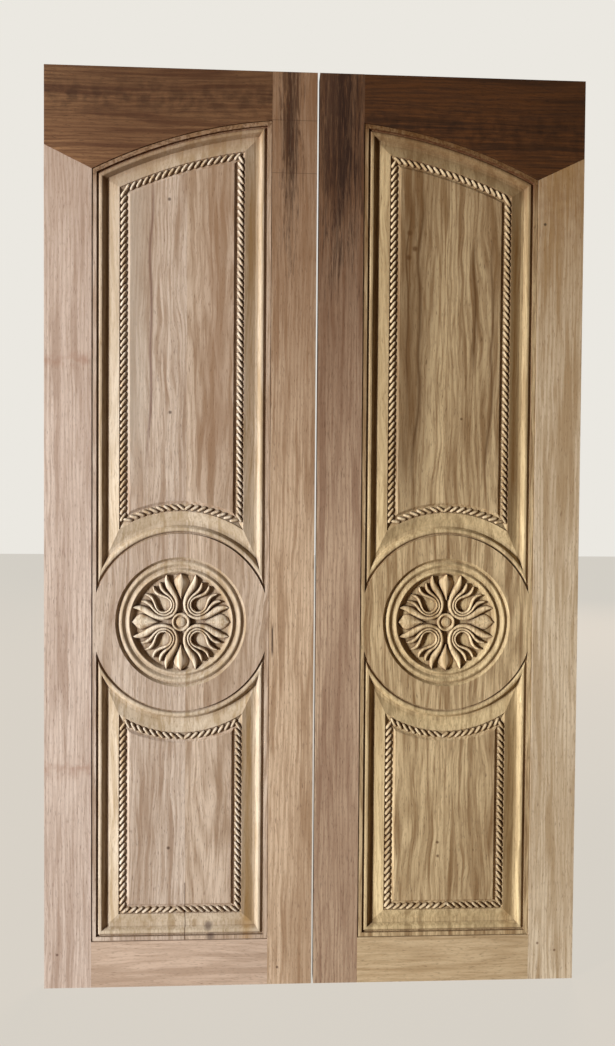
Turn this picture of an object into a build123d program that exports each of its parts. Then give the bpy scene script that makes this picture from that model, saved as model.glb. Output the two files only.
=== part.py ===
"""Pair of carved door leaves for a temple doorway, in teak, before they are hung.

The origin is on the floor, midway between the leaves and midway through their thickness.
X runs across the doorway, Z is up, and the carved faces look towards -Y.
The left leaf is modelled in its place, and the right leaf is its mirror image.
"""

import os
from math import acos, atan2, cos, degrees, radians, sin, sqrt

from build123d import *

os.makedirs("parts", exist_ok=True)

# One leaf
leaf_width = 600
leaf_height = 2050
leaf_thickness = 38
leaf_gap = 5

# Frame of a leaf
hanging_stile_width = 104
meeting_stile_width = 100
bottom_rail_height = 104
arch_radius = 1088
arch_crown_below_top = 102
slant_rise = 50

# Joints of the frame
tenon_thickness = 12
tenon_length = 62
tenon_height = 70
tenon_shoulder = 16
joint_clearance = 0.2

# Panel and its tongue
panel_back_depth = 31
panel_side_gap = 1.6
tongue_thickness = 11
tongue_length = 10
tongue_groove_room = 1.5
seam_from_outer_edge = 313

# Moulding round the sunk fields, as widths from the panel's edge inward
margin_width = 11
quirk_width = 5
bead_outer_width = 8
bead_inner_width = 13.5
bevel_width = 23
rope_width = 16
field_edge_width = 7
rope_margin = 0.8

# The same moulding, as depths below the face of the frame
margin_depth = 1.5
quirk_depth = 7
bead_depth = 2.5
recess_depth = 13.5
ledge_depth = 6.5
rope_depth = 1.6
field_depth = 2.4

# Rope bead
rope_shoulder = 4
strand_pitch = 16.5
strand_angle = 50
strand_overlap = 1.2
strand_root = 1
rope_corner_room = 5

# Medallion
medallion_height = 826
disc_radius = 200
outer_ring_radius = 145
outer_ring_valley = 140
outer_ring_crest = 132
inner_ring_valley = 123
inner_ring_crest = 116
rosette_floor_radius = 107
ring_valley_depth = 6.5
ring_crest_depth = 2
rosette_floor_depth = 11.5

# Rosette on the floor of the medallion
rosette_clearance = 2
petal_depth = 3.5
petal_groove_depth = 3.5
petal_groove_width = 5
petal_groove_rise = 0.5
spade_depth = 2.5
boss_sides = 16
boss_radius = 20
boss_ring_width = 7
boss_button_radius = 9
boss_depth = 3
boss_valley_depth = 8

# Places worked out from the sizes
outer_edge = -leaf_gap / 2 - leaf_width
inner_edge = -leaf_gap / 2
panel_left = outer_edge + hanging_stile_width
panel_right = inner_edge - meeting_stile_width
medallion_x = (panel_left + panel_right) / 2
seam_x = outer_edge + seam_from_outer_edge
face = leaf_thickness / 2
arch_centre_height = leaf_height - arch_crown_below_top - arch_radius
rope_start = margin_width + quirk_width + bead_outer_width + bead_inner_width + bevel_width


def level(depth):
    """Height in front of the leaf's middle plane, for a depth below its face."""
    return face - depth


def front(depth):
    """Plane that looks out of the carved face, at a depth below it."""
    return Plane.XZ.offset(level(depth))


def arch_height(x, inset=0):
    """Height of the arch at x, an inset inside the panel's edge."""
    return arch_centre_height + sqrt((arch_radius - inset) ** 2 - x**2)


def panel_outline(inset):
    """Outline of the arched panel, an inset inside the frame's inner edges."""
    left, right = panel_left + inset, panel_right - inset
    bottom = bottom_rail_height + inset
    middle = (left + right) / 2
    with BuildSketch(Plane.XZ) as outline:
        with BuildLine():
            Line((left, bottom), (right, bottom))
            Line((right, bottom), (right, arch_height(right, inset)))
            ThreePointArc(
                (right, arch_height(right, inset)),
                (middle, arch_height(middle, inset)),
                (left, arch_height(left, inset)),
            )
            Line((left, arch_height(left, inset)), (left, bottom))
        make_face()
    return outline.sketch


def panel_block(inset, depth_low, depth_high):
    """Slab of the arched outline between two depths."""
    with BuildPart() as slab:
        outline = panel_outline(inset).moved(Location((0, -level(depth_low), 0)))
        extrude(outline, amount=depth_low - depth_high)
    return slab.part


def sloped_block(is_upper, low, high):
    """Block with sloping edges that follow one sunk field.

    low and high are pairs of an inset and a depth, at the block's back and front.
    """
    (inset_low, depth_low), (inset_high, depth_high) = low, high
    y_low, y_high = -level(depth_low), -level(depth_high)
    height = depth_low - depth_high
    with BuildPart() as block:
        with BuildSketch(Plane.XY):
            with BuildLine():
                Polyline(
                    (panel_left + inset_low, y_low),
                    (panel_right - inset_low, y_low),
                    (panel_right - inset_high, y_high),
                    (panel_left + inset_high, y_high),
                    close=True,
                )
            make_face()
        if is_upper:
            extrude(amount=leaf_height)
            with Locations(Plane(origin=(0, y_low, arch_centre_height), z_dir=(0, -1, 0))):
                Cone(
                    arch_radius - inset_low,
                    arch_radius - inset_high,
                    height,
                    align=(Align.CENTER, Align.CENTER, Align.MIN),
                    mode=Mode.INTERSECT,
                )
            split(bisect_by=Plane.XY.offset(medallion_height), keep=Keep.TOP)
        else:
            extrude(amount=medallion_height)
            with BuildSketch(Plane.YZ):
                with BuildLine():
                    Polyline(
                        (y_low, bottom_rail_height + inset_low),
                        (y_high, bottom_rail_height + inset_high),
                        (y_high, medallion_height),
                        (y_low, medallion_height),
                        close=True,
                    )
                make_face()
            extrude(amount=2 * outer_edge, mode=Mode.INTERSECT)
        with Locations(Plane(origin=(medallion_x, y_low, medallion_height), z_dir=(0, -1, 0))):
            Cone(
                disc_radius + inset_low - margin_width,
                disc_radius + inset_high - margin_width,
                height,
                align=(Align.CENTER, Align.CENTER, Align.MIN),
                mode=Mode.SUBTRACT,
            )
    return block.part


def run_out(start, end, extra):
    """Continue a slope past its start by an extra depth, so that it crosses what is there."""
    share = extra / abs(end[1] - start[1])
    return start[0] - share * (end[0] - start[0]), start[1] - share * (end[1] - start[1])


def raised(is_upper, foot, crest, beyond=0):
    """Ground that climbs from its foot to its crest, to add to the field's floor."""
    high = run_out(crest, foot, beyond) if beyond else crest
    return sloped_block(is_upper, run_out(foot, crest, 2), high)


def sunk(is_upper, brow, foot):
    """Ground that falls from its brow to its foot, to cut from the field."""
    return sloped_block(is_upper, run_out(foot, brow, 1), run_out(brow, foot, 2))


quirk_end = margin_width + quirk_width
bead_crest = quirk_end + bead_outer_width
recess_line = bead_crest + bead_inner_width
rope_end = rope_start + rope_width
rope_middle = rope_start + rope_width / 2
field_start = rope_end + rope_margin
field_edge = field_start + field_edge_width

# One strand of the rope bead, which lies along X and leans to the left of it.
# It is a gable across the bead whose ends slope down to the bead's two sides.
strand_height = ledge_depth - rope_depth
strand_side = (strand_pitch + strand_overlap) / 2
with BuildPart() as left_strand:
    with BuildSketch(Plane.XZ):
        with BuildLine():
            Polyline(
                (-strand_side * (1 + strand_root / strand_height), -strand_root),
                (strand_side * (1 + strand_root / strand_height), -strand_root),
                (0, strand_height),
                close=True,
            )
        make_face()
    lean = (-cos(radians(strand_angle)), sin(radians(strand_angle)), 0)
    extrude(amount=rope_width, dir=lean, both=True)
    with BuildSketch(Plane.YZ):
        with BuildLine():
            Polyline(
                (-rope_width / 2 - rope_shoulder * strand_root / strand_height, -strand_root),
                (rope_width / 2 + rope_shoulder * strand_root / strand_height, -strand_root),
                (rope_width / 2 - rope_shoulder, strand_height),
                (-rope_width / 2 + rope_shoulder, strand_height),
                close=True,
            )
        make_face()
    extrude(amount=2 * rope_width, both=True, mode=Mode.INTERSECT)

with BuildPart() as right_strand:
    add(left_strand.part)
    mirror(about=Plane.XZ, mode=Mode.REPLACE)


def strand_place(x, z, angle):
    """Place of a strand on the ledge, where the bead runs at an angle from level."""
    along = (cos(radians(angle)), 0, sin(radians(angle)))
    return Plane(origin=(x, -level(ledge_depth), z), x_dir=along, z_dir=(0, -1, 0)).location


def steps(start, end):
    """Middles of the whole strands that fit between two lengths."""
    count = max(1, round(abs(end - start) / strand_pitch))
    return [start + (end - start) * (index + 0.5) / count for index in range(count)]


rope_left = panel_left + rope_middle
rope_right = panel_right - rope_middle
rope_disc = disc_radius + rope_middle - margin_width
rope_arch = arch_radius - rope_middle
rope_bottom = bottom_rail_height + rope_middle
disc_reach = sqrt(rope_disc**2 - (rope_right - medallion_x) ** 2)
left_places, right_places = [], []
for x, places in ((rope_left, right_places), (rope_right, left_places)):
    for z in steps(rope_bottom, medallion_height - disc_reach - rope_corner_room):
        places.append(strand_place(x, z, 90))
    for z in steps(medallion_height + disc_reach + rope_corner_room, arch_height(x, rope_middle)):
        places.append(strand_place(x, z, 90))
for x in steps(rope_left, rope_right):
    places = right_places if x > medallion_x else left_places
    places.append(strand_place(x, rope_bottom, 0))

# Strands on the arch follow it, and those round the disc meet in a V above and below it
arch_from = atan2(arch_height(rope_left, rope_middle) - arch_centre_height, rope_left)
arch_to = atan2(arch_height(rope_right, rope_middle) - arch_centre_height, rope_right)
for length in steps(arch_from * rope_arch, arch_to * rope_arch):
    turn = length / rope_arch
    x, z = rope_arch * cos(turn), arch_centre_height + rope_arch * sin(turn)
    right_places.append(strand_place(x, z, degrees(turn) - 90))
disc_turn = acos((rope_right - medallion_x) / rope_disc) + rope_corner_room / rope_disc
for is_above in (1, -1):
    for length in steps(disc_turn * rope_disc, (radians(180) - disc_turn) * rope_disc):
        turn = length / rope_disc
        x = medallion_x + rope_disc * cos(turn)
        z = medallion_height + is_above * rope_disc * sin(turn)
        places = right_places if x > medallion_x else left_places
        places.append(strand_place(x, z, is_above * (degrees(turn) - 90)))

# Ring mouldings and sunk floor of the medallion, as the wood that is turned away
with BuildPart() as medallion_sinking:
    with BuildSketch(
        Plane(origin=(medallion_x, 0, medallion_height), x_dir=(1, 0, 0), z_dir=(0, 0, -1))
    ):
        with BuildLine():
            Polyline(
                (0, level(0)),
                (outer_ring_radius, level(0)),
                (outer_ring_radius, level(margin_depth)),
                (outer_ring_valley, level(ring_valley_depth)),
                (outer_ring_crest, level(ring_crest_depth)),
                (inner_ring_valley, level(ring_valley_depth)),
                (inner_ring_crest, level(ring_crest_depth)),
                (rosette_floor_radius, level(rosette_floor_depth)),
                (0, level(rosette_floor_depth)),
                close=True,
            )
        make_face()
    revolve(axis=Axis((medallion_x, 0, medallion_height), (0, 1, 0)))

# One palmette: nested ribs that open outward round a teardrop hollow, cut with straight tools.
# It points along X, and petal is a hundredth of its reach from the rosette's centre.
petal = (rosette_floor_radius - rosette_clearance) / 100
with BuildPart() as palmette:
    with BuildSketch(front(rosette_floor_depth + 1)):
        with BuildLine():
            root = Line((19 * petal, 0), (24 * petal, 17 * petal))
            rib = ThreePointArc(root @ 1, (33 * petal, 30 * petal), (48 * petal, 38 * petal))
            Polyline(
                rib @ 1,
                (72 * petal, 41 * petal),
                (87 * petal, 46 * petal),
                (77 * petal, 29 * petal),
                (89 * petal, 22 * petal),
                (78 * petal, 13 * petal),
                (89 * petal, 0),
            )
            mirror(about=Plane.XZ)
        make_face()
    extrude(amount=rosette_floor_depth + 1 - petal_depth)

    # The fold between the outer and the inner ribs, cut with a V tool
    with BuildLine(front(petal_depth)) as fold:
        Polyline(
            (86 * petal, -31 * petal),
            (46 * petal, -23 * petal),
            (30 * petal, -10 * petal),
            (30 * petal, 10 * petal),
            (46 * petal, 23 * petal),
            (86 * petal, 31 * petal),
        )
    with BuildSketch(Plane(origin=fold.wire() @ 0, x_dir=(0, -1, 0), z_dir=fold.wire() % 0)):
        with BuildLine():
            Polyline(
                (-petal_groove_depth, 0),
                (petal_groove_rise, petal_groove_width / 2),
                (petal_groove_rise, -petal_groove_width / 2),
                close=True,
            )
        make_face()
    sweep(path=fold.wire(), transition=Transition.RIGHT, mode=Mode.SUBTRACT)

    # The hollow, down to the floor
    with BuildSketch(front(rosette_floor_depth + 1)):
        with BuildLine():
            Polyline(
                (39 * petal, 0),
                (44 * petal, 10 * petal),
                (57 * petal, 13 * petal),
                (82 * petal, 0),
            )
            mirror(about=Plane.XZ)
        make_face()
    extrude(amount=rosette_floor_depth, mode=Mode.SUBTRACT)

# One spade leaf with a ridge along its middle
with BuildPart() as spade:
    with BuildSketch(front(rosette_floor_depth + 1)):
        with BuildLine():
            Polyline(
                (56 * petal, 0),
                (74 * petal, 6 * petal),
                (88 * petal, 16 * petal),
                (96 * petal, 12 * petal),
                (101 * petal, 0),
            )
            mirror(about=Plane.XZ)
        make_face()
    extrude(amount=rosette_floor_depth)
    with BuildSketch(Plane.YZ):
        with BuildLine():
            Polyline(
                (-level(rosette_floor_depth + 1), -26 * petal),
                (-level(spade_depth), 0),
                (-level(rosette_floor_depth + 1), 26 * petal),
                close=True,
            )
        make_face()
    extrude(amount=2 * rosette_floor_radius, mode=Mode.INTERSECT)

# Button and ring at the heart of the rosette, pared round with a flat chisel
with BuildPart() as boss:
    with BuildSketch(front(rosette_floor_depth + 1)):
        RegularPolygon(boss_radius, boss_sides)
    extrude(amount=rosette_floor_depth + 1 - boss_depth)
    with BuildSketch(front(boss_valley_depth)):
        RegularPolygon(boss_radius - boss_ring_width, boss_sides)
        RegularPolygon(boss_button_radius, boss_sides, mode=Mode.SUBTRACT)
    extrude(amount=boss_valley_depth, mode=Mode.SUBTRACT)

# Whole carved panel, before it is parted into its two glued boards
tongue_depth = (leaf_thickness - tongue_thickness) / 2
with BuildPart() as panel:
    add(panel_block(panel_side_gap, panel_back_depth, margin_depth))
    add(panel_block(-tongue_length, tongue_depth + tongue_thickness, tongue_depth))
    for is_upper in (True, False):
        brow, quirk = (margin_width, margin_depth), (quirk_end, quirk_depth)
        crest, recess = (bead_crest, bead_depth), (recess_line, recess_depth)
        add(sunk(is_upper, brow, quirk), mode=Mode.SUBTRACT)
        add(raised(is_upper, quirk, crest, beyond=1))
        add(sunk(is_upper, crest, recess), mode=Mode.SUBTRACT)
        add(raised(is_upper, recess, (rope_start - rope_margin, ledge_depth)))
        add(raised(is_upper, (field_start, ledge_depth), (field_edge, field_depth)))
    with Locations(*left_places):
        add(left_strand.part)
    with Locations(*right_places):
        add(right_strand.part)
    add(medallion_sinking.part, mode=Mode.SUBTRACT)
    centre = (medallion_x, 0, medallion_height)
    with Locations(*[Location(centre, (0, -turn, 0)) for turn in (45, 135, 225, 315)]):
        add(palmette.part)
    with Locations(*[Location(centre, (0, -turn, 0)) for turn in (0, 90, 180, 270)]):
        add(spade.part)
    with Locations(Location(centre)):
        add(boss.part)

# The panel's two boards, which meet in a glued seam
with BuildPart() as outer_board:
    add(panel.part)
    split(bisect_by=Plane.YZ.offset(seam_x), keep=Keep.BOTTOM)

with BuildPart() as inner_board:
    add(panel.part)
    split(bisect_by=Plane.YZ.offset(seam_x), keep=Keep.TOP)

# Groove in the frame's inner edges, which takes the panel's tongue
groove_depth = tongue_depth - joint_clearance
tongue_groove = panel_block(
    -tongue_length - tongue_groove_room,
    leaf_thickness - groove_depth,
    groove_depth,
)


corner_height = arch_height(panel_left)
top_tenon_middle = leaf_height - tenon_shoulder - tenon_height / 2
bottom_tenon_middle = tenon_shoulder + tenon_height / 2
stile_tenon_middle = outer_edge + hanging_stile_width / 2 - tenon_shoulder / 2
stile_tenon_width = hanging_stile_width - 3 * tenon_shoulder / 2


def rail_tenon(x, z, direction, clearance=0):
    """Tenon that a rail pushes into a stile at x, or its mortise where there is clearance."""
    length = tenon_length + (tongue_groove_room if clearance else 0)
    with BuildPart() as block:
        with Locations((x, 0, z)):
            Box(
                length,
                tenon_thickness + 2 * clearance,
                tenon_height + 2 * clearance,
                align=(Align.MAX if direction < 0 else Align.MIN, Align.CENTER, Align.CENTER),
            )
    return block.part


def stile_tenon(clearance=0):
    """Tenon on top of the hanging stile, or its mortise where there is clearance."""
    length = tenon_length + slant_rise + (tongue_groove_room if clearance else 0)
    with BuildPart() as block:
        with Locations((stile_tenon_middle, 0, corner_height)):
            Box(
                stile_tenon_width + 2 * clearance,
                tenon_thickness + 2 * clearance,
                length,
                align=(Align.CENTER, Align.CENTER, Align.MIN),
            )
    return block.part


# Hanging stile, whose slanted top carries the top rail
with BuildPart() as hanging_stile:
    with BuildSketch(Plane.XZ):
        with BuildLine():
            Polyline(
                (outer_edge, 0),
                (panel_left, 0),
                (panel_left, corner_height),
                (outer_edge, corner_height + slant_rise),
                close=True,
            )
        make_face()
    extrude(amount=leaf_thickness / 2, both=True)
    add(stile_tenon())
    add(tongue_groove, mode=Mode.SUBTRACT)
    add(rail_tenon(panel_left, bottom_tenon_middle, -1, joint_clearance), mode=Mode.SUBTRACT)

# Meeting stile, which runs the whole height
with BuildPart() as meeting_stile:
    with Locations(((panel_right + inner_edge) / 2, 0, leaf_height / 2)):
        Box(meeting_stile_width, leaf_thickness, leaf_height)
    add(tongue_groove, mode=Mode.SUBTRACT)
    add(rail_tenon(panel_right, bottom_tenon_middle, 1, joint_clearance), mode=Mode.SUBTRACT)
    add(rail_tenon(panel_right, top_tenon_middle, 1, joint_clearance), mode=Mode.SUBTRACT)

# Bottom rail, tenoned into both stiles
with BuildPart() as bottom_rail:
    with Locations(((panel_left + panel_right) / 2, 0, bottom_rail_height / 2)):
        Box(panel_right - panel_left, leaf_thickness, bottom_rail_height)
    add(tongue_groove, mode=Mode.SUBTRACT)
    add(rail_tenon(panel_left, bottom_tenon_middle, -1))
    add(rail_tenon(panel_right, bottom_tenon_middle, 1))

# Top rail, arched below, which covers the hanging stile and butts against the meeting stile
with BuildPart() as top_rail:
    arch_middle = (panel_left + panel_right) / 2
    with BuildSketch(Plane.XZ):
        with BuildLine():
            Polyline(
                (panel_left, corner_height),
                (outer_edge, corner_height + slant_rise),
                (outer_edge, leaf_height),
                (panel_right, leaf_height),
                (panel_right, arch_height(panel_right)),
            )
            ThreePointArc(
                (panel_right, arch_height(panel_right)),
                (arch_middle, arch_height(arch_middle)),
                (panel_left, corner_height),
            )
        make_face()
    extrude(amount=leaf_thickness / 2, both=True)
    add(tongue_groove, mode=Mode.SUBTRACT)
    add(stile_tenon(joint_clearance), mode=Mode.SUBTRACT)
    add(rail_tenon(panel_right, top_tenon_middle, 1))

pieces = {
    "hanging_stile": hanging_stile,
    "meeting_stile": meeting_stile,
    "bottom_rail": bottom_rail,
    "top_rail": top_rail,
    "outer_board": outer_board,
    "inner_board": inner_board,
}
for name, left_piece in pieces.items():
    left_piece.part.label = f"left_{name}"
    export_step(left_piece.part, f"parts/left_{name}.step")
    with BuildPart() as right_piece:
        add(left_piece.part)
        mirror(about=Plane.YZ, mode=Mode.REPLACE)
    right_piece.part.label = f"right_{name}"
    export_step(right_piece.part, f"parts/right_{name}.step")
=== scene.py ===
from math import acos, atan2, cos, pi, radians, sin, sqrt, tan

import bmesh
import bpy
from mathutils import Matrix, Vector


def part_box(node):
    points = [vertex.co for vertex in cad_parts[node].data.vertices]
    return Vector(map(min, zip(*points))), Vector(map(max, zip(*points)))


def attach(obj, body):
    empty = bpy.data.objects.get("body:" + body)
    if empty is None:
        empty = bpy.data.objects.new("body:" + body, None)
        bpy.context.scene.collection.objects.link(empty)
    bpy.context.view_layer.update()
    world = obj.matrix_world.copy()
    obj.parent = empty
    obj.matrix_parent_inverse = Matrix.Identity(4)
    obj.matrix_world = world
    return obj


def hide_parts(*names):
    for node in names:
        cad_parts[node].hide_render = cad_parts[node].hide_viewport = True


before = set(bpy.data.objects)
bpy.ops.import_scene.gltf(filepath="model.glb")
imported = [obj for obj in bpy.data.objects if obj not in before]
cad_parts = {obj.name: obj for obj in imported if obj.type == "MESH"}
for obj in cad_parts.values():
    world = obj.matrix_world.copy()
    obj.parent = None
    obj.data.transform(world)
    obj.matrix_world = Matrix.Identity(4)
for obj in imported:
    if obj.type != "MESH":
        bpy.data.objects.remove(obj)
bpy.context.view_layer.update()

# Stiles and rails of the two leaves. Planed teak, 38 mm thick, each cut from its own board,
# so each has its own colour and figure. They are tenoned together, and a few strokes of a
# hand plane have taken the sharpness off their edges.
mm = 0.001
arris = 0.7 * mm
arris_steps = 2
growth_ring = 9 * mm
heart_lean = radians(2.5)
grain_bend_length = 70 * mm
painted_shade_reach = 14 * mm
pore_relief = 0.3 * mm
streak_width = 5 * mm
scribed_half_width = 1.3 * mm
vein_wander_length = 340 * mm
blotch_width = 22 * mm
grain_along_z = (0, 0, 0)
grain_along_x = (0, radians(90), 0)


def linear(colour):
    """Linear red, green, blue and alpha of an sRGB hex colour."""
    parts = [int(colour[start : start + 2], 16) / 255 for start in (1, 3, 5)]
    return [part / 12.92 if part <= 0.04045 else ((part + 0.055) / 1.055) ** 2.4 for part in parts] + [1]


def add_node(tree, kind, inputs=None, output=0, **settings):
    """Add a node with its settings, its input values and links, and give one of its outputs, if any."""
    node = tree.nodes.new(kind)
    for name, value in settings.items():
        setattr(node, name, value)
    for key, value in (inputs or {}).items():
        if isinstance(value, bpy.types.NodeSocket):
            tree.links.new(value, node.inputs[key])
        else:
            node.inputs[key].default_value = value
    return node.outputs[output] if node.outputs else None


def bare_teak(
    name, tones, seed, turn=grain_along_z, heart=(0, 160), figure=0.4, bend=4, marks=(), painted_hollow_shade=0
):
    """Unoiled teak, planed or cut with an edge tool. Growth rings show as long arched lines in a
    tan ground, brown streaks and fine fibres run along the board, and open pores are short dark
    dashes. Tones are the ground's, the streaks' and the pores'. The heart of the tree lay at
    heart, in mm beside the board's middle line and behind. Figure is how strongly the rings show,
    and the grain bends by up to bend, in mm. The last argument is how dark a painted shade makes
    the carved hollow places, where an occlusion test finds them closed in."""
    pale, brown, dark = (linear(tone) for tone in tones)
    material = bpy.data.materials.new(name)
    material.use_nodes = True
    tree = material.node_tree
    tree.nodes.clear()
    place = add_node(tree, "ShaderNodeTexCoord", output="Object")
    turned = add_node(tree, "ShaderNodeMapping", {"Vector": place, "Rotation": turn})
    at_heart = {"Location": (-heart[0] * mm, heart[1] * mm, seed), "Rotation": (heart_lean, 0, 0)}
    straight = add_node(tree, "ShaderNodeMapping", {"Vector": turned, **at_heart})
    longer = add_node(tree, "ShaderNodeVectorMath", {0: straight, 1: (1, 1, 0.3)}, operation="MULTIPLY")
    bending = {"Vector": longer, "Scale": 1 / grain_bend_length, "Detail": 2}
    bending = add_node(tree, "ShaderNodeTexNoise", bending, "Fac")
    sideways = {"Value": bending, "From Min": 0.25, "From Max": 0.75, "To Min": -bend * mm}
    sideways = add_node(tree, "ShaderNodeMapRange", {**sideways, "To Max": bend * mm})
    sideways = add_node(tree, "ShaderNodeCombineXYZ", {"X": sideways})
    board = add_node(tree, "ShaderNodeVectorMath", {0: straight, 1: sideways}, operation="ADD")

    # Growth rings, which wander over about a metre of the board's length. A wave texture has 20
    # radians to a unit at a scale of 1
    slow = add_node(tree, "ShaderNodeVectorMath", {0: board, 1: (1, 1, 0.05)}, operation="MULTIPLY")
    waves = {"Vector": slow, "Scale": 2 * pi / (20 * growth_ring), "Distortion": 11, "Detail": 2.5}
    waves |= {"Detail Scale": 0.6, "Detail Roughness": 0.6}
    waves = add_node(tree, "ShaderNodeTexWave", waves, "Fac", wave_type="RINGS", rings_direction="Z")
    late_wood = {"Value": waves, "From Min": 0.35, "From Max": 1, "To Max": figure}
    late_wood = add_node(tree, "ShaderNodeMapRange", late_wood)
    colour = add_node(tree, "ShaderNodeMix", {0: late_wood, 6: pale, 7: brown}, 2, data_type="RGBA")

    # Each layer: width and length in mm, where its noise starts and is full, its share and tone.
    # They are a slow change of tone, broad streaks, fibres, and pores drawn about four times too
    # wide so that they show
    layers = (
        (80, 500, 0.4, 0.65, 0.45, brown),
        (15, 900, 0.5, 0.64, 0.75, brown),
        (3.5, 150, 0.48, 0.68, 0.6, brown),
        (1.2, 16, 0.58, 0.7, 0.6, dark),
    )
    grains = []
    for width, length, start, full, share, tone in layers:
        drawn_out = {0: board, 1: (1, 1, width / length)}
        drawn_out = add_node(tree, "ShaderNodeVectorMath", drawn_out, operation="MULTIPLY")
        noise = {"Vector": drawn_out, "Scale": 1 / (width * mm), "Detail": 3}
        grain = add_node(tree, "ShaderNodeTexNoise", noise, "Fac")
        grains.append(grain)
        amount = {"Value": grain, "From Min": start, "From Max": full, "To Max": share}
        amount = add_node(tree, "ShaderNodeMapRange", amount)
        colour = add_node(tree, "ShaderNodeMix", {0: amount, 6: colour, 7: tone}, 2, data_type="RGBA")
    for mark in marks:
        colour = mark(tree, place, colour)
    if painted_hollow_shade:
        # Painted shade: where the occlusion test finds the surface closed in, the colour darkens to a
        # dark red-brown, as the shadow in a carved recess would
        depth = add_node(tree, "ShaderNodeAmbientOcclusion", {"Distance": painted_shade_reach}, "AO", samples=4)
        depth = {"Value": depth, "From Min": 0.9, "From Max": 0.45, "To Max": painted_hollow_shade}
        depth = {0: add_node(tree, "ShaderNodeMapRange", depth), 6: colour, 7: linear("#4a1a0a")}
        colour = add_node(tree, "ShaderNodeMix", depth, 2, data_type="RGBA")

    fibres, pores = grains[-2:]
    relief = add_node(tree, "ShaderNodeMath", {0: fibres, 1: pores}, operation="SUBTRACT")
    bump = add_node(tree, "ShaderNodeBump", {"Height": relief, "Strength": 0.5, "Distance": pore_relief})
    dull = {"Value": fibres, "From Min": 0.3, "From Max": 0.7, "To Min": 0.58, "To Max": 0.78}
    dull = add_node(tree, "ShaderNodeMapRange", dull)
    surface = {"Base Color": colour, "Roughness": dull, "Normal": bump, "Specular IOR Level": 0.25}
    shader = add_node(tree, "ShaderNodeBsdfPrincipled", surface)
    add_node(tree, "ShaderNodeOutputMaterial", {"Surface": shader})
    return material


def near_value(tree, value, middle, reach):
    """One where a value is at the middle, falling to zero at reach from it."""
    away = add_node(tree, "ShaderNodeMath", {0: value, 1: middle}, operation="SUBTRACT")
    away = add_node(tree, "ShaderNodeMath", {0: away}, operation="ABSOLUTE")
    return add_node(tree, "ShaderNodeMapRange", {"Value": away, "From Min": reach, "From Max": 0})


def dark_streaks(tint, low, high, middle, reach, strength=0.4):
    """Mark: ragged dark streaks that hang down from height high and have died out at low. They
    lie within reach of x = middle. All in mm."""

    def mark(tree, place, colour):
        x = add_node(tree, "ShaderNodeSeparateXYZ", {0: place}, 0)
        z = add_node(tree, "ShaderNodeSeparateXYZ", {0: place}, 2)
        fade = {"Value": z, "From Min": low * mm, "From Max": high * mm, "To Max": strength}
        fade = add_node(tree, "ShaderNodeMapRange", fade)
        near = near_value(tree, x, middle * mm, reach * mm)
        fade = add_node(tree, "ShaderNodeMath", {0: fade, 1: near}, operation="MULTIPLY")
        streak = add_node(tree, "ShaderNodeVectorMath", {0: place, 1: (1, 1, 0.06)}, operation="MULTIPLY")
        streak = {"Vector": streak, "Scale": 1 / streak_width, "Detail": 5, "Roughness": 0.75}
        streak = add_node(tree, "ShaderNodeTexNoise", {**streak, "Distortion": 0.8}, "Fac")
        level = add_node(tree, "ShaderNodeMath", {0: streak, 1: fade}, operation="ADD")
        share = {"Value": level, "From Min": 0.66, "From Max": 0.94, "To Max": 0.92}
        share = add_node(tree, "ShaderNodeMapRange", share)
        return add_node(tree, "ShaderNodeMix", {0: share, 6: colour, 7: linear(tint)}, 2, data_type="RGBA")

    return mark


def tone_and_painted_shade(tint, start, full, share, axis=2):
    """Mark: the board takes on a tint slowly from one place on an axis to another, both in mm. Up
    a board the tint is partly its own tone and partly painted shade, darker towards the top.
    """

    def mark(tree, place, colour):
        way = add_node(tree, "ShaderNodeSeparateXYZ", {0: place}, axis)
        rise = {"Value": way, "From Min": start * mm, "From Max": full * mm, "To Max": share}
        rise = add_node(tree, "ShaderNodeMapRange", rise)
        return add_node(tree, "ShaderNodeMix", {0: rise, 6: colour, 7: linear(tint)}, 2, data_type="RGBA")

    return mark


def spots(tint, places, radius):
    """Mark: pin knots and small dents at x and z, with a radius. All in mm."""

    def mark(tree, place, colour):
        for x, z in places:
            away = {0: place, 1: (x * mm, 0, z * mm)}
            away = add_node(tree, "ShaderNodeVectorMath", away, operation="SUBTRACT")
            away = add_node(tree, "ShaderNodeVectorMath", {0: away, 1: (1, 0, 1)}, operation="MULTIPLY")
            away = add_node(tree, "ShaderNodeVectorMath", {0: away}, "Value", operation="LENGTH")
            near = {"Value": away, "From Min": radius * mm, "From Max": radius * 0.4 * mm, "To Max": 0.75}
            near = {0: add_node(tree, "ShaderNodeMapRange", near), 6: colour, 7: linear(tint)}
            colour = add_node(tree, "ShaderNodeMix", near, 2, data_type="RGBA")
        return colour

    return mark


def scribed_line(tint, height, share):
    """Mark: a joiner's thin setting-out line across the board at a height in mm."""

    def mark(tree, place, colour):
        z = add_node(tree, "ShaderNodeSeparateXYZ", {0: place}, 2)
        line = near_value(tree, z, height * mm, scribed_half_width)
        line = add_node(tree, "ShaderNodeMath", {0: line, 1: share}, operation="MULTIPLY")
        return add_node(tree, "ShaderNodeMix", {0: line, 6: colour, 7: linear(tint)}, 2, data_type="RGBA")

    return mark


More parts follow.
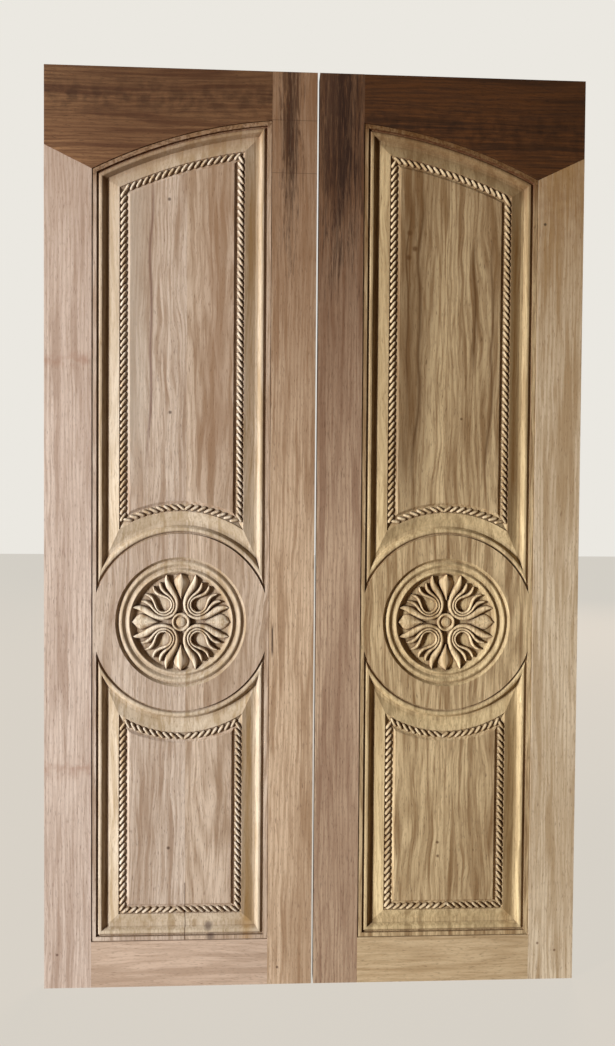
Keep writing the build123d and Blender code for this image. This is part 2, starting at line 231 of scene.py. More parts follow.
def vein(tint, x_at, low, high, half_width, share, waver=12):
    """Mark: one vein of another tone along the board. It wavers and fades out at both ends. All
    in mm."""

    def mark(tree, place, colour):
        x = add_node(tree, "ShaderNodeSeparateXYZ", {0: place}, 0)
        z = add_node(tree, "ShaderNodeSeparateXYZ", {0: place}, 2)
        wander = add_node(tree, "ShaderNodeVectorMath", {0: place, 1: (0, 0, 1)}, operation="MULTIPLY")
        wander = {"Vector": wander, "Scale": 1 / vein_wander_length, "Detail": 1.5}
        wander = add_node(tree, "ShaderNodeTexNoise", wander, "Fac")
        shift = {"Value": wander, "From Min": 0.3, "From Max": 0.7, "To Min": -waver * mm}
        shift = add_node(tree, "ShaderNodeMapRange", {**shift, "To Max": waver * mm})
        x = add_node(tree, "ShaderNodeMath", {0: x, 1: shift}, operation="ADD")
        across = near_value(tree, x, x_at * mm, half_width * mm)
        along = near_value(tree, z, (low + high) / 2 * mm, (high - low) / 2 * mm)
        along = add_node(tree, "ShaderNodeMapRange", {"Value": along, "From Max": 0.4, "To Max": share})
        amount = add_node(tree, "ShaderNodeMath", {0: across, 1: along}, operation="MULTIPLY")
        return add_node(tree, "ShaderNodeMix", {0: amount, 6: colour, 7: linear(tint)}, 2, data_type="RGBA")

    return mark


def smear(tint, height, half_height, share):
    """Mark: a blotchy smear across the board at a height. All in mm."""

    def mark(tree, place, colour):
        z = add_node(tree, "ShaderNodeSeparateXYZ", {0: place}, 2)
        blotch = {"Vector": place, "Scale": 1 / blotch_width, "Detail": 4}
        blotch = add_node(tree, "ShaderNodeTexNoise", blotch, "Fac")
        blotch = add_node(tree, "ShaderNodeMapRange", {"Value": blotch, "From Min": 0.4, "From Max": 0.62})
        band = near_value(tree, z, height * mm, half_height * mm)
        amount = add_node(tree, "ShaderNodeMath", {0: blotch, 1: band}, operation="MULTIPLY")
        amount = add_node(tree, "ShaderNodeMapRange", {"Value": amount, "To Max": share})
        return add_node(tree, "ShaderNodeMix", {0: amount, 6: colour, 7: linear(tint)}, 2, data_type="RGBA")

    return mark


def add_object(name, data):
    """Put a new object in the scene."""
    new = bpy.data.objects.new(name, data)
    bpy.context.scene.collection.objects.link(new)
    return new


def select_only(piece):
    """Make a piece the only one that the next operator works on."""
    bpy.ops.object.select_all(action="DESELECT")
    piece.select_set(True)
    bpy.context.view_layer.objects.active = piece


def ease_edges(node, name):
    """Copy of a solid of the frame with a small round on its sharp edges."""
    piece = add_object(name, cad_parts[node].data.copy())
    select_only(piece)
    bpy.ops.object.mode_set(mode="EDIT")
    bpy.ops.mesh.select_all(action="SELECT")
    bpy.ops.mesh.remove_doubles(threshold=0.01 * mm)
    bpy.ops.mesh.dissolve_limited(angle_limit=radians(0.5))
    bpy.ops.object.mode_set(mode="OBJECT")
    bpy.ops.object.modifier_add(type="BEVEL")
    bevel = piece.modifiers[-1]
    bevel.width = arris
    bevel.segments = arris_steps
    bevel.limit_method = "ANGLE"
    bevel.angle_limit = radians(30)
    bevel.harden_normals = True
    bpy.ops.object.modifier_apply(modifier=bevel.name)
    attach(piece, "root")
    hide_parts(node)
    return piece


def finish_with(piece, material):
    """Give a piece its material, in its one slot."""
    piece.data.materials.clear()
    piece.data.materials.append(material)


# Each board has its own tones, figure and marks, as in the photograph. A tint that grows
# towards the top is partly the board's own tone and partly painted shade
stile_woods = {
    "left_hanging_stile": {
        "tones": ("#dccabb", "#ab9280", "#755a4b"),
        "seed": 3.1,
        "heart": (-700, 60),
        "marks": (
            tone_and_painted_shade("#94765c", 1250, 1950, 0.45),
            smear("#9a6b52", 1408, 22, 0.5),
            smear("#9a6b52", 500, 35, 0.45),
            spots("#5d4033", [(-574, 76)], 4),
        ),
    },
    "left_meeting_stile": {
        "tones": ("#dac0a2", "#9f7f60", "#5d3f29"),
        "seed": 7.7,
        "heart": (-210, 90),
        "marks": (
            tone_and_painted_shade("#6b4525", 850, 1950, 0.72),
            dark_streaks("#2c170a", 1450, 1900, -62, 40, 0.46),
            dark_streaks("#5a3b26", 1300, 2300, -60, 90, 0.3),
            scribed_line("#3a2416", 1944, 0.6),
            scribed_line("#4a3220", 1828, 0.6),
            vein("#2c170c", -95, 745, 825, 3, 1, waver=2),
            spots("#4a3020", [(-80, 39)], 4),
        ),
    },
    "right_meeting_stile": {
        "tones": ("#c9af93", "#90715a", "#4d3221"),
        "seed": 12.9,
        "heart": (230, 80),
        "marks": (
            tone_and_painted_shade("#5e3a1c", 950, 1800, 0.85),
            dark_streaks("#24120a", 1380, 1850, 52, 130, 0.44),
            dark_streaks("#4f3423", 1150, 2300, 30, 60, 0.3),
        ),
    },
    "right_hanging_stile": {
        "tones": ("#ebdabd", "#b29874", "#7a5b40"),
        "seed": 17.3,
        "heart": (690, 70),
        "marks": (
            tone_and_painted_shade("#80560a", 900, 1950, 0.74),
            smear("#7a5638", 1780, 160, 0.25),
            spots("#1c0e06", [(514, 1728)], 4.5),
            spots("#6b4a30", [(520, 84), (560, 67)], 4),
        ),
    },
}
for node, wood in stile_woods.items():
    stile = ease_edges(node, f"planed_{node}")
    finish_with(stile, bare_teak(f"teak_of_{node}", **wood))

rail_woods = {
    "left_bottom_rail": {
        "tones": ("#d6bea8", "#b49b85", "#7d6450"),
        "seed": 21.5,
        "heart": (60, 110),
    },
    "right_bottom_rail": {
        "tones": ("#d5bd97", "#af946e", "#72593c"),
        "seed": 25.1,
        "heart": (70, 120),
    },
    "left_top_rail": {
        "tones": ("#a37a54", "#5f3c26", "#241207"),
        "seed": 31.3,
        "heart": (2100, 70),
        "marks": (
            # The tint towards the top is partly painted shade
            tone_and_painted_shade("#38200f", 1760, 2050, 0.55),
            tone_and_painted_shade("#4a2c16", -575, -440, 0.4, axis=0),
            smear("#2c180b", 1985, 60, 0.5),
        ),
    },
    "right_top_rail": {
        "tones": ("#5f3a1c", "#35200f", "#160a03"),
        "seed": 37.9,
        "heart": (2110, 60),
        "marks": (
            tone_and_painted_shade("#241307", 1850, 2060, 0.35),
            smear("#1c0e05", 1930, 90, 0.45),
        ),
    },
}
for node, wood in rail_woods.items():
    rail = ease_edges(node, f"planed_{node}")
    finish_with(rail, bare_teak(f"teak_of_{node}", turn=grain_along_x, **wood))

# Carved panels. Two teak boards are glued edge to edge, and a tongue round the panel sits loose
# in the frame's groove. The mouldings are worked with planes and gouges from the face downwards:
# a margin, a quirk, a round bead, a deep recess, a wide bevel and a ledge for the rope bead.
panel_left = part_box("left_hanging_stile")[1].x
panel_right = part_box("left_meeting_stile")[0].x
panel_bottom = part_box("left_bottom_rail")[1].z
leaf_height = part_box("left_meeting_stile")[1].z
face = -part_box("left_meeting_stile")[0].y
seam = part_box("left_outer_board")[1].x
seam_open_below = 235 * mm
arch_radius = 1088 * mm
arch_below_top = 102 * mm
arch_centre = leaf_height - arch_below_top - arch_radius
medallion_height = 826 * mm
medallion = Vector(((panel_left + panel_right) / 2, 0, medallion_height))
disc_radius = 189 * mm
margin_depth = 1.5 * mm
ledge_end = 77 * mm
ledge_depth = 6.5 * mm
side_gap = 0.9 * mm
tongue_length = 10 * mm
tongue_front = 13.5 * mm
tongue_back = 24.5 * mm
panel_back = 31 * mm
arch_steps = 32
disc_steps = 48
ring_steps = 120
round_steps = 5


def eased(points):
    """Profile with its corners rounded. A point is an inset, a depth and the corner's radius in mm."""
    path = [Vector(point[:2]) * mm for point in points]
    profile = [path[0]]
    for before, corner, after, (_, _, radius) in zip(path, path[1:], path[2:], points[1:]):
        to_before, to_after = before - corner, after - corner
        half_turn = (pi - to_before.angle(to_after)) / 2
        room = min(radius * mm * tan(half_turn), to_before.length * 0.48, to_after.length * 0.48)
        start = corner + to_before.normalized() * room
        end = corner + to_after.normalized() * room
        steps = round_steps if radius else 0
        for step in range(steps + 1):
            share = step / max(steps, 1)
            profile.append(start.lerp(corner, share).lerp(corner.lerp(end, share), share))
    profile.append(path[-1])
    return profile


# From the frame inwards: quirk, bead, recess, bevel, ledge, and the step up to the field
moulding = eased(
    [
        (10, 1.5, 0),
        (10.8, 6, 0.4),
        (13.2, 6, 0.6),
        (17, 2, 4),
        (22.6, 2.3, 4),
        (29.5, 11.2, 1.5),
        (36, 11.2, 1),
        (60, 4.6, 0.6),
        (61, 6.5, 0),
        (77, 6.5, 0),
        (77.8, 6.5, 0.3),
        (83.5, 2.4, 1),
        (85.5, 2.4, 0),
    ]
)

# From the disc's face inwards: groove, turned ring, groove, turned ring and the sunk floor. Here a
# point has a radius about the medallion's middle in place of an inset
rings = eased(
    [
        (146, 1.5, 0),
        (140.5, 7.5, 0.8),
        (132.5, 2, 5),
        (125, 7.5, 0.8),
        (121.5, 7.5, 0.8),
        (115, 2, 3),
        (106.5, 13, 1),
        (100, 13, 0),
    ]
)


def arc_points(centre, radius, start_x, end_x, steps, side):
    """Points on the upper or lower part of a circle in the leaf's plane, from one x to another."""
    start = acos(max(-1, min(1, (start_x - centre.x) / radius)))
    end = acos(max(-1, min(1, (end_x - centre.x) / radius)))
    turns = [start + (end - start) * step / steps for step in range(steps + 1)]
    return [(centre.x + radius * cos(turn), centre.z + side * radius * sin(turn)) for turn in turns]


def field_outline(inset, is_upper):
    """Outline of a sunk field at an inset, and the indices of its mitred corners."""
    left, right = panel_left + inset, panel_right - inset
    disc = arc_points(medallion, disc_radius + inset, right, left, disc_steps, 1 if is_upper else -1)
    if is_upper:
        far = arc_points(Vector((0, 0, arch_centre)), arch_radius - inset, left, right, arch_steps, 1)
    else:
        far = [(left, panel_bottom + inset), (right, panel_bottom + inset)]
    corners = (0, len(far) - 1, len(far), len(far) + disc_steps)
    return far + disc, corners


def panel_outline(inset):
    """Outline of the arched panel at an inset from the frame."""
    left, right = panel_left + inset, panel_right - inset
    top = arc_points(Vector((0, 0, arch_centre)), arch_radius - inset, left, right, arch_steps, 1)
    return top + [(right, panel_bottom + inset), (left, panel_bottom + inset)]


def loop_at(mesh, outline, depth):
    """Closed loop of new vertices at a depth below the frame's face."""
    return [mesh.verts.new((x, depth - face, z)) for x, z in outline]


def skin(mesh, one, other, corners=(), slot=0, smooth=True):
    """Band of faces between two loops, with a hard line along each mitre."""
    for index in range(len(one)):
        following = (index + 1) % len(one)
        band = mesh.faces.new((one[index], one[following], other[following], other[index]))
        band.material_index = slot
        band.smooth = smooth
    for index in corners:
        mesh.edges.get((one[index], other[index])).smooth = False


def turned_skin(mesh, profile, steps, slot=0):
    """Skin of a profile turned about the medallion's middle, and its first and last loops."""
    turns = [2 * pi * step / steps for step in range(steps)]
    loops = []
    for radius, depth in profile:
        circle = [(medallion.x + radius * cos(turn), medallion.z + radius * sin(turn)) for turn in turns]
        loops.append(loop_at(mesh, circle, depth))
    for one, other in zip(loops, loops[1:]):
        skin(mesh, one, other, slot=slot)
    return loops[0], loops[-1]


def loop_edges(mesh, loop):
    """Edges of a closed loop."""
    return [mesh.edges.get((loop[index - 1], loop[index])) for index in range(len(loop))]


def as_mesh_data(mesh, name):
    """The finished shape as mesh data, with its normals outwards."""
    bmesh.ops.recalc_face_normals(mesh, faces=mesh.faces)
    data = bpy.data.meshes.new(name)
    mesh.to_mesh(data)
    mesh.free()
    return data


def mirror_to_right_leaf(piece):
    """Turn a piece of the left leaf into its mirror image on the right leaf."""
    piece.data.transform(Matrix.Scale(-1, 4, (1, 0, 0)))
    piece.data.flip_normals()


panel = bmesh.new()
flat_edges = []
for is_upper in (True, False):
    loops = []
    for inset, depth in moulding:
        outline, corners = field_outline(inset, is_upper)
        loops.append(loop_at(panel, outline, depth))
    for (inset, _), one, other in zip(moulding, loops, loops[1:]):
        skin(panel, one, other, corners, slot=1 if inset < ledge_end else 0)
    bmesh.ops.triangle_fill(panel, edges=loop_edges(panel, loops[-1]), use_beauty=True)
    flat_edges += loop_edges(panel, loops[0])
disc_edge, floor_edge = turned_skin(panel, rings, ring_steps, slot=1)
bmesh.ops.contextual_create(panel, geom=loop_edges(panel, floor_edge), mat_nr=1)
flat_edges += loop_edges(panel, disc_edge)

# The panel's edge, its tongue and its back, from the face backwards
edge_profile = [
    (side_gap + arris, margin_depth),
    (side_gap, margin_depth + arris),
    (side_gap, tongue_front),
    (-tongue_length, tongue_front),
    (-tongue_length, tongue_back),
    (side_gap, tongue_back),
    (side_gap, panel_back - arris),
    (side_gap + arris, panel_back),
]
loops = [loop_at(panel, panel_outline(inset), depth) for inset, depth in edge_profile]
for one, other in zip(loops, loops[1:]):
    skin(panel, one, other, smooth=False)
bmesh.ops.contextual_create(panel, geom=loop_edges(panel, loops[-1]))
flat_edges += loop_edges(panel, loops[0])
bmesh.ops.triangle_fill(panel, edges=flat_edges, use_beauty=True)
panel_mesh = as_mesh_data(panel, "carved_panel")


def seam_crack(tree, place, colour):
    """Mark: the glued seam, which has opened near the bottom and is a fine dark line there."""
    x = add_node(tree, "ShaderNodeSeparateXYZ", {0: place}, 0)
    z = add_node(tree, "ShaderNodeSeparateXYZ", {0: place}, 2)
    near = add_node(tree, "ShaderNodeMath", {0: x, 1: seam, 2: 0.9 * mm}, operation="COMPARE")
    low = add_node(tree, "ShaderNodeMath", {0: z, 1: seam_open_below}, operation="LESS_THAN")
    share = add_node(tree, "ShaderNodeMath", {0: near, 1: low}, operation="MULTIPLY")
    share = add_node(tree, "ShaderNodeMath", {0: share, 1: 0.85}, operation="MULTIPLY")
    return add_node(tree, "ShaderNodeMix", {0: share, 6: colour, 7: linear("#4a2f1c")}, 2, data_type="RGBA")


# The tool's dashes by the arch, and the height above which a board is under the arch
dash_length = 5 * mm
dashes_full = 10 * mm
dashes_gone = 22 * mm
arch_zone = 1600 * mm


def painted_arch_shade_and_dashes(tint, full, gone, share):
    """Mark: painted shade makes the moulding under the arch browner, from an inset of full to one
    of gone, in mm, and the tool has left short dashes in its margin."""

    def mark(tree, place, colour):
        spoke = {0: place, 1: (0, 0, arch_centre)}
        spoke = add_node(tree, "ShaderNodeVectorMath", spoke, operation="SUBTRACT")
        spoke = add_node(tree, "ShaderNodeVectorMath", {0: spoke, 1: (1, 0, 1)}, operation="MULTIPLY")
        radius = add_node(tree, "ShaderNodeVectorMath", {0: spoke}, "Value", operation="LENGTH")
        z = add_node(tree, "ShaderNodeSeparateXYZ", {0: place}, 2)
        is_high = add_node(tree, "ShaderNodeMath", {0: z, 1: arch_zone}, operation="GREATER_THAN")
        # Painted shade: a band under the arch tinted browner
        band = {"Value": radius, "From Min": arch_radius - gone * mm, "From Max": arch_radius - full * mm}
        band = add_node(tree, "ShaderNodeMapRange", {**band, "To Max": share})
        band = add_node(tree, "ShaderNodeMath", {0: band, 1: is_high}, operation="MULTIPLY")
        band = {0: band, 6: colour, 7: linear(tint)}
        colour = add_node(tree, "ShaderNodeMix", band, 2, data_type="RGBA")
        dashes = {"Vector": place, "Scale": 1 / dash_length, "Detail": 1}
        dashes = add_node(tree, "ShaderNodeTexNoise", dashes, "Fac")
        dashes = add_node(tree, "ShaderNodeMapRange", {"Value": dashes, "From Min": 0.48, "From Max": 0.6})
        edge = {"Value": radius, "From Min": arch_radius - dashes_gone}
        edge |= {"From Max": arch_radius - dashes_full, "To Max": 0.7}
        edge = add_node(tree, "ShaderNodeMapRange", edge)
        dashes = add_node(tree, "ShaderNodeMath", {0: dashes, 1: edge}, operation="MULTIPLY")
        dashes = add_node(tree, "ShaderNodeMath", {0: dashes, 1: is_high}, operation="MULTIPLY")
        dashes = {0: dashes, 6: colour, 7: linear("#4a2c14")}
        return add_node(tree, "ShaderNodeMix", dashes, 2, data_type="RGBA")

    return mark


def part_board(name, node):
    """One of the panel's two boards: the panel cut along its glued seam."""
    is_outer = "outer" in node
    board = add_object(name, panel_mesh.copy())
    select_only(board)
    bpy.ops.object.mode_set(mode="EDIT")
    bpy.ops.mesh.select_all(action="SELECT")
    bpy.ops.mesh.bisect(
        plane_co=(seam, 0, 0),
        plane_no=(1, 0, 0),
        use_fill=True,
        clear_outer=is_outer,
        clear_inner=not is_outer,
    )
    bpy.ops.mesh.mark_sharp()
    bpy.ops.object.mode_set(mode="OBJECT")
    if node.startswith("right"):
        mirror_to_right_leaf(board)
    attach(board, "root")
    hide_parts(node)
    return board


# Each board has its planed wood on the face and the fields, and its cut wood, with painted
# shade darkening its carved hollow places, in the mouldings. The veins that don't waver are
# painted shade too: browner or yellower bevels at the right-hand side of each panel, where the
# bevel faces away from the lamp. A tint that grows towards the top is partly the board's own
# tone and partly painted shade
panel_woods = {
    "left_outer_board": {
        "planed": ("#decdbb", "#9d826a", "#61493a"),
        "cut": ("#e2d2ba", "#ae9673", "#7c6043"),
        "seed": 41.3,
        "heart": (-480, 130),
        "marks": (
            seam_crack,
            vein("#b9ae9e", -418, 1120, 1920, 60, 0.6, waver=5),
            painted_arch_shade_and_dashes("#7c5832", 0, 66, 0.75),
            vein("#6b4a40", -368, 1150, 1860, 5, 0.8),
            tone_and_painted_shade("#8a6a48", 1150, 1900, 0.32),
            spots("#3f2818", [(-329, 1765), (-326, 1295), (-327, 315)], 5),
        ),
    },
    "left_inner_board": {
        "planed": ("#decab4", "#9a7e63", "#614733"),
        "cut": ("#e2d2ba", "#ae9673", "#7c6043"),
        "seed": 47.1,
        "heart": (-215, 150),
        "marks": (
            seam_crack,
            vein("#8c6748", -222, 1050, 1920, 72, 0.5, waver=20),
            painted_arch_shade_and_dashes("#7c5832", 0, 66, 0.75),
            tone_and_painted_shade("#8a6a48", 1150, 1900, 0.28),
            # Painted shade: the right-hand bevel, which faces away from the lamp, browner and yellower
            vein("#9c6a14", -150, 980, 1940, 18, 0.42, waver=0),
            vein("#b8862a", -150, 20, 700, 18, 0.45, waver=0),
            spots("#75655a", [(-237, 133), (-231, 111)], 12),
        ),
    },
    "right_inner_board": {
        "planed": ("#dec69b", "#876843", "#4c331e"),
        "cut": ("#e4cd9e", "#a08861", "#6e5234"),
        "seed": 53.3,
        "heart": (205, 120),
        "marks": (
            painted_arch_shade_and_dashes("#664423", 0, 66, 0.8),
            vein("#57391a", 208, 1000, 1950, 75, 0.6, waver=15),
            vein("#4c3014", 232, 1100, 1850, 6, 0.8, waver=20),
            vein("#4c3014", 205, 1300, 1800, 3, 0.7, waver=18),
            spots("#54371b", [(207, 1703), (219, 1668), (205, 1648)], 8),
            tone_and_painted_shade("#5c3a12", 850, 1950, 0.46),
            spots("#523519", [(285, 321), (286, 289)], 4.5),
        ),
    },
    "right_outer_board": {
        "planed": ("#dec69b", "#846541", "#4a321e"),
        "cut": ("#e4cd9e", "#a08861", "#6e5234"),
        "seed": 61.9,
        "heart": (430, 140),
        "marks": (
            painted_arch_shade_and_dashes("#664423", 0, 66, 0.8),
            vein("#523414", 358, 1380, 1700, 8, 0.75, waver=22),
            vein("#5a3c1e", 398, 1100, 1750, 5, 0.75, waver=18),
            tone_and_painted_shade("#5c3a12", 850, 1950, 0.46),
            # Painted shade: the right-hand bevel, which faces away from the lamp, browner and yellower
            vein("#764a04", 450, 980, 1850, 18, 0.75, waver=0),
            vein("#8a5c14", 450, 20, 700, 18, 0.55, waver=0),
            spots("#523519", [(329, 1288)], 4),
        ),
    },
}
for node, wood in panel_woods.items():
    board = part_board(f"carved_{node}", node)
    planed, cut = wood.pop("planed"), wood.pop("cut")
    board.data.materials.append(bare_teak(f"planed_teak_of_{node}", planed, bend=9, **wood))
    cut_teak = bare_teak(f"cut_teak_of_{node}", cut, figure=0.25, bend=9, painted_hollow_shade=0.75, **wood)
    board.data.materials.append(cut_teak)

# Rope bead. A round bead on the ledge between the bevel and the field is scored with slanting
# cuts, and each strand between two cuts is rounded over with a gouge. The strands lean the other
# way on each side of the leaf, and round the disc and along the bottom they change hand midway.
rope_inset = 69 * mm
rope_half_width = 8 * mm
strand_pitch = 15 * mm
strand_half_width = 6.6 * mm
strand_height = 5.2 * mm
strand_angle = radians(50)
strand_bend = 1.2 * mm
strand_cut = -0.2
corner_room = 4 * mm

# One strand: a ball of radius 1, cut off a little behind its middle, where it meets the ledge
bpy.ops.object.select_all(action="DESELECT")
bpy.ops.mesh.primitive_uv_sphere_add(segments=12, ring_count=8, radius=1)
strand = bpy.context.active_object
strand.name = "one_strand"
bpy.ops.object.mode_set(mode="EDIT")
bpy.ops.mesh.select_all(action="SELECT")
bpy.ops.mesh.bisect(plane_co=(0, 0, strand_cut), plane_no=(0, 0, 1), clear_inner=True, use_fill=True)
bpy.ops.object.mode_set(mode="OBJECT")

# The cut leaves corners and faces in another order at each run, so they are put in order of place
points = [vertex.co.copy() for vertex in strand.data.vertices]
order = sorted(range(len(points)), key=lambda index: tuple(points[index]))
strand_points = [points[index] for index in order]
faces = [[order.index(index) for index in polygon.vertices] for polygon in strand.data.polygons]
strand_faces = sorted(faces)
bpy.data.objects.remove(strand)


def strand_at(mesh, x, z, angle, hand):
    """Add a strand where the bead runs at an angle from level. Hand is 1 or -1, the way it leans."""
    along = Vector((cos(angle), 0, sin(angle)))
    across = Vector((-sin(angle), 0, cos(angle)))
    middle = Vector((x, ledge_depth - face, z))
    corners = []
    for point in strand_points:
        side = point.y * rope_half_width
        shift = hand * (side / tan(strand_angle) + strand_bend * sin(pi * point.y))
        place = middle + along * (point.x * strand_half_width + shift) + across * side
        corners.append(mesh.verts.new(place - Vector((0, point.z * strand_height, 0))))
    for indices in strand_faces:
        mesh.faces.new([corners[index] for index in indices]).smooth = True


def middles(start, end):
    """Middles of the whole strands between two lengths."""
    count = max(1, round(abs(end - start) / strand_pitch))
    return [start + (end - start) * (index + 0.5) / count for index in range(count)]


rope = bmesh.new()
rope_left, rope_right = panel_left + rope_inset, panel_right - rope_inset
rope_disc = disc_radius + rope_inset
rope_arch = arch_radius - rope_inset
rope_bottom = panel_bottom + rope_inset
reach = sqrt(rope_disc**2 - (rope_right - medallion.x) ** 2)
for x, hand in ((rope_left, -1), (rope_right, 1)):
    top = arch_centre + sqrt(rope_arch**2 - x**2)
    for z in middles(rope_bottom, medallion.z - reach - corner_room):
        strand_at(rope, x, z, pi / 2, hand)
    for z in middles(medallion.z + reach + corner_room, top):
        strand_at(rope, x, z, pi / 2, hand)
for x in middles(rope_left, rope_right):
    strand_at(rope, x, rope_bottom, 0, -1 if x > medallion.x else 1)
arch_from = atan2(sqrt(rope_arch**2 - rope_left**2), rope_left)
arch_to = atan2(sqrt(rope_arch**2 - rope_right**2), rope_right)
for length in middles(arch_from * rope_arch, arch_to * rope_arch):
    turn = length / rope_arch
    strand_at(rope, rope_arch * cos(turn), arch_centre + rope_arch * sin(turn), turn - pi / 2, 1)
disc_turn = acos((rope_right - medallion.x) / rope_disc) + corner_room / rope_disc
for side in (1, -1):
    for length in middles(disc_turn * rope_disc, (pi - disc_turn) * rope_disc):
        turn = length / rope_disc
        x, z = medallion.x + rope_disc * cos(turn), medallion.z + side * rope_disc * sin(turn)
        strand_at(rope, x, z, side * (turn - pi / 2), 1 if x > medallion.x else -1)
rope_mesh = as_mesh_data(rope, "rope_bead")


def both_leaves(name, mesh, materials):
    """Put a carved piece on the left leaf and its mirror image on the right one."""
    for side, material in zip(("left", "right"), materials):
        piece = add_object(f"{side}_{name}", mesh.copy())
        if side == "right":
            mirror_to_right_leaf(piece)
        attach(piece, "root")
        finish_with(piece, material)


# Teak scored and rounded with a gouge: pale crests, and painted shade that darkens the cuts
# between the strands
rope_finish = {"figure": 0.2, "painted_hollow_shade": 0.8}
rope_teak = (
    bare_teak("scored_teak_of_left_rope", ("#f2e6d2", "#b59a72", "#6e5033"), 71.1, **rope_finish),
    bare_teak("scored_teak_of_right_rope", ("#ecd8b2", "#a18557", "#5e4226"), 73.3, **rope_finish),
)
both_leaves("rope_bead", rope_mesh, rope_teak)

# Rosette on the sunk floor of the medallion, gouged from the same boards: four palmettes on the
# diagonals, each of three nested ribs round a teardrop hollow, four spade leaves between them,
# each with a sharp ridge, and a ringed button in the middle.
floor_depth = 13 * mm
rib_sections = 9
rib_foot = 1 * mm
palmette_steps = 5
spade_steps = 3
spade_height = 9.8 * mm
button_steps = 48


def smooth_line(points, steps):
    """Points along a smooth curve through the given ones, with their widths."""
    knots = [Vector(point) for point in points]
    line = []
    for index in range(len(knots) - 1):
        first, second = knots[index], knots[index + 1]
        before = knots[index - 1] if index else first * 2 - second
        after = knots[index + 2] if index + 2 < len(knots) else second * 2 - first
        for step in range(steps):
            t = step / steps
            line.append(
                (
                    first * 2
                    + (second - before) * t
                    + (before * 2 - first * 5 + second * 4 - after) * t**2
                    + (first * 3 - before - second * 3 + after) * t**3
                )
                / 2
            )
    return line + [knots[-1]]


def carve_rib(mesh, line, frame_turn, height, power, roundness=0.5):
    """Rib along a line of u, v and half width in mm, turned about the medallion's middle. A high
    power gives it a flat top and steep sides, and a roundness of 1 straight ones. Its foot is
    sunk in the floor."""
    turned = Matrix.Rotation(-frame_turn, 3, "Y")
    sections = []
    for index, point in enumerate(line):
        before, after = line[max(index - 1, 0)], line[min(index + 1, len(line) - 1)]
        run = Vector((after[0] - before[0], after[1] - before[1])).normalized()
        section = []
        for step in range(rib_sections):
            share = 2 * step / (rib_sections - 1) - 1
            rise = max(0, 1 - abs(share) ** power) ** roundness
            u = point[0] - run.y * point[2] * share
            v = point[1] + run.x * point[2] * share
            place = medallion + turned @ Vector((u * mm, 0, v * mm))
            place.y = floor_depth + rib_foot - (height + rib_foot) * rise - face
            section.append(mesh.verts.new(place))
        sections.append(section)
    for one, other in zip(sections, sections[1:]):
        for index in range(rib_sections):
            following = (index + 1) % rib_sections
            quad = mesh.faces.new((one[index], one[following], other[following], other[index]))
            quad.smooth = following != 0
    mesh.faces.new(sections[0])
    mesh.faces.new(sections[-1])


# Half of each rib of a palmette, from its root by the button to its tip, and the rib's height
outer_rib = [
    (23.5, 0, 4.6),
    (27, 12, 4.8),
    (35, 23, 5.4),
    (47, 30.5, 6.6),
    (61, 34.5, 8),
    (75, 37.5, 8.8),
    (86, 42, 7.2),
    (94, 48, 4.4),
    (98, 52, 1.2),
]
middle_rib = [
    (31, 0, 3.7),
    (34.5, 12, 3.5),
    (45, 20.5, 3.5),
    (59, 23, 3.6),
    (73, 21.5, 4.2),
    (84, 22.5, 4.8),
    (92, 26.5, 3.6),
    (96, 30, 1),
]
inner_rib = [
    (37, 0, 3.4),
    (40, 10, 3.2),
    (48.5, 16.6, 3.2),
    (59, 17, 3.3),
    (70, 12.5, 3.8),
    (81, 8, 4.4),
    (91, 8, 4.2),
    (98, 11, 2.8),
    (101, 13, 1),
]
ribs = ((outer_rib, 9.3 * mm), (middle_rib, 8.8 * mm), (inner_rib, 8.3 * mm))
palmettes = bmesh.new()
for quarter in range(4):
    for line, height in ribs:
        half = smooth_line(line, palmette_steps)
        whole = [Vector((u, -v, w)) for u, v, w in reversed(half[1:])] + half
        carve_rib(palmettes, whole, pi / 4 + quarter * pi / 2, height, power=2.4)

# Teak cut with gouges: paler than the planed boards, with little of their figure, and with
# painted shade that darkens its carved hollow places
rosette_finish = {"figure": 0.15, "painted_hollow_shade": 0.7}
rosette_teak = (
    bare_teak("gouged_teak_of_left_rosette", ("#faecd4", "#b39871", "#6e5033"), 75.7, **rosette_finish),
    bare_teak("gouged_teak_of_right_rosette", ("#f6deb2", "#a08458", "#5e4226"), 79.9, **rosette_finish),
)
both_leaves("palmettes", as_mesh_data(palmettes, "palmettes"), rosette_teak)

spade_line = [
    (50, 0, 0.6),
    (60, 0, 7),
    (70, 0, 13),
    (80, 0, 18),
    (88, 0, 20),
    (95, 0, 18.5),
    (101, 0, 13.5),
    (106, 0, 7.5),
    (109.5, 0, 0.8),
]
spades = bmesh.new()
for quarter in range(4):
    line = smooth_line(spade_line, spade_steps)
    carve_rib(spades, line, quarter * pi / 2, spade_height, power=1.15, roundness=0.9)
both_leaves("spade_leaves", as_mesh_data(spades, "spade_leaves"), rosette_teak)

# From the button's foot inwards: its outer ring, a groove and the boss
button_profile = eased(
    [
        (21, 14, 0),
        (20.5, 5, 1.5),
        (17, 3, 2.5),
        (12.5, 8.5, 1),
        (9.5, 5, 2),
        (4, 3, 4),
        (0.4, 2.9, 0),
    ]
)
button = bmesh.new()
foot, crown = turned_skin(button, button_profile, button_steps)
button.faces.new(foot)
button.faces.new(crown)
both_leaves("ringed_button", as_mesh_data(button, "ringed_button"), rosette_teak)

# Floor and light. The leaves stand on a plain pale floor before a pale ground. One lamp stands
# far to the left and rakes across the carving, as daylight from a doorway would. A broader one
# lights the back, and the surroundings fill the shadows a little.
floor_size = 30
floor_shown_plain = 0.82
aim = Vector((0, 0, 1.0))

bpy.ops.object.select_all(action="DESELECT")
bpy.ops.mesh.primitive_plane_add(size=floor_size, location=(0, 0, 0))
floor_plane = bpy.context.active_object
floor_plane.name = "pale_floor"
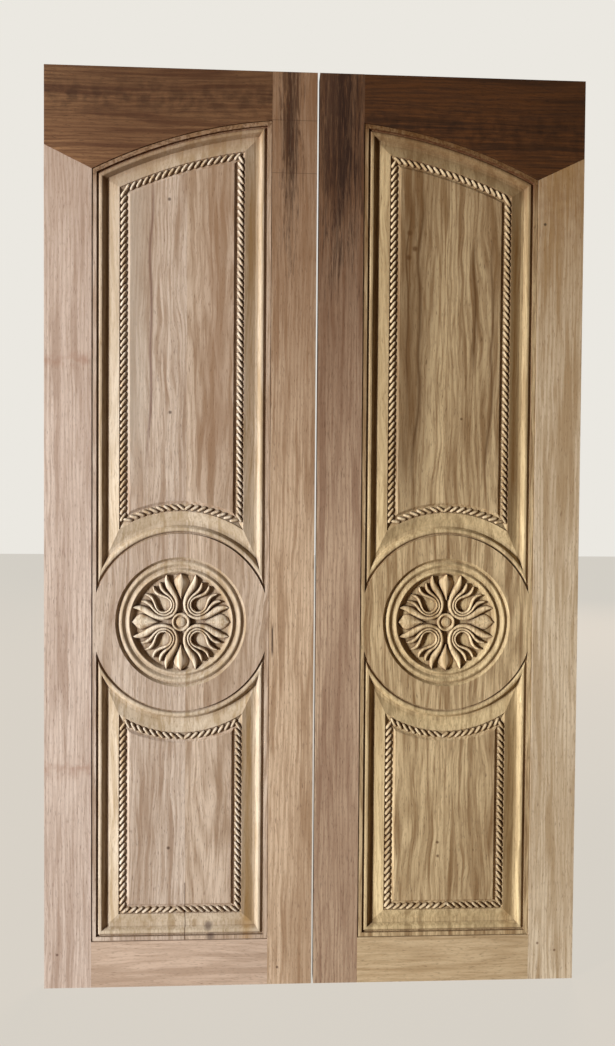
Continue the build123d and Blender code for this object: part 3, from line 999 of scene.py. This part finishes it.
# Plaster that bounces brown light on the wood, while the camera sees it pale, with the shadow
pale_floor = bpy.data.materials.new("pale_plaster_floor")
pale_floor.use_nodes = True
floor_tree = pale_floor.node_tree
floor_tree.nodes.clear()
lit_floor = add_node(floor_tree, "ShaderNodeBsdfDiffuse", {"Color": linear("#a98d72")})
plain_floor = add_node(floor_tree, "ShaderNodeEmission", {"Color": linear("#e6e1d7")})
to_camera = add_node(floor_tree, "ShaderNodeLightPath", output="Is Camera Ray")
share = {0: to_camera, 1: floor_shown_plain}
share = add_node(floor_tree, "ShaderNodeMath", share, operation="MULTIPLY")
floor_look = add_node(floor_tree, "ShaderNodeMixShader", {0: share, 1: lit_floor, 2: plain_floor})
add_node(floor_tree, "ShaderNodeOutputMaterial", {"Surface": floor_look})
floor_plane.data.materials.append(pale_floor)

# Each lamp: its name, its place, its width and height in metres, and its power in watts
lamps = (
    ("raking_lamp", (-8.5, -5.1, 1.3), 1.2, 1.6, 1545),
    ("back_lamp", (2.6, 6.2, 3.6), 3, 2, 330),
)
for name, place, width, height, power in lamps:
    lamp_data = bpy.data.lights.new(name, "AREA")
    lamp_data.shape = "RECTANGLE"
    lamp_data.size = width
    lamp_data.size_y = height
    lamp_data.energy = power
    lamp = add_object(name, lamp_data)
    lamp.location = place
    lamp.rotation_euler = (aim - lamp.location).to_track_quat("-Z", "Y").to_euler()

world = bpy.data.worlds.new("pale_ground")
world.use_nodes = True
world_tree = world.node_tree
world_tree.nodes.clear()
fill = add_node(world_tree, "ShaderNodeBackground", {"Color": linear("#ffa46a"), "Strength": 0.03})
ground = add_node(world_tree, "ShaderNodeBackground", {"Color": linear("#ebe8e1"), "Strength": 1})
to_camera = add_node(world_tree, "ShaderNodeLightPath", output="Is Camera Ray")
surroundings = add_node(world_tree, "ShaderNodeMixShader", {0: to_camera, 1: fill, 2: ground})
add_node(world_tree, "ShaderNodeOutputWorld", {"Surface": surroundings})
bpy.context.scene.world = world

# Camera, at the photograph's angle: a little above waist height and left of the middle. Its
# place, its turn and its focal length were fitted to corners and ring edges of both leaves.
focal_px = 786
photo_height_px = 1046
camera_place = (-0.097, -1.784, 1.093)
yaw, pitch, roll = radians(2.56), radians(-1.38), radians(0.43)
forward = Vector((sin(yaw) * cos(pitch), cos(yaw) * cos(pitch), sin(pitch)))
level_right = Vector((cos(yaw), -sin(yaw), 0))
level_up = level_right.cross(forward)
right = level_right * cos(roll) + level_up * sin(roll)
up = level_up * cos(roll) - level_right * sin(roll)
camera_data = bpy.data.cameras.new("camera")
camera_data.sensor_fit = "VERTICAL"
camera_data.sensor_height = 24
camera_data.lens = camera_data.sensor_height * focal_px / photo_height_px
camera = add_object("camera", camera_data)
camera.matrix_world = Matrix((right, up, -forward)).transposed().to_4x4()
camera.location = camera_place
bpy.context.scene.camera = camera
bpy.context.scene.view_settings.view_transform = "Standard"
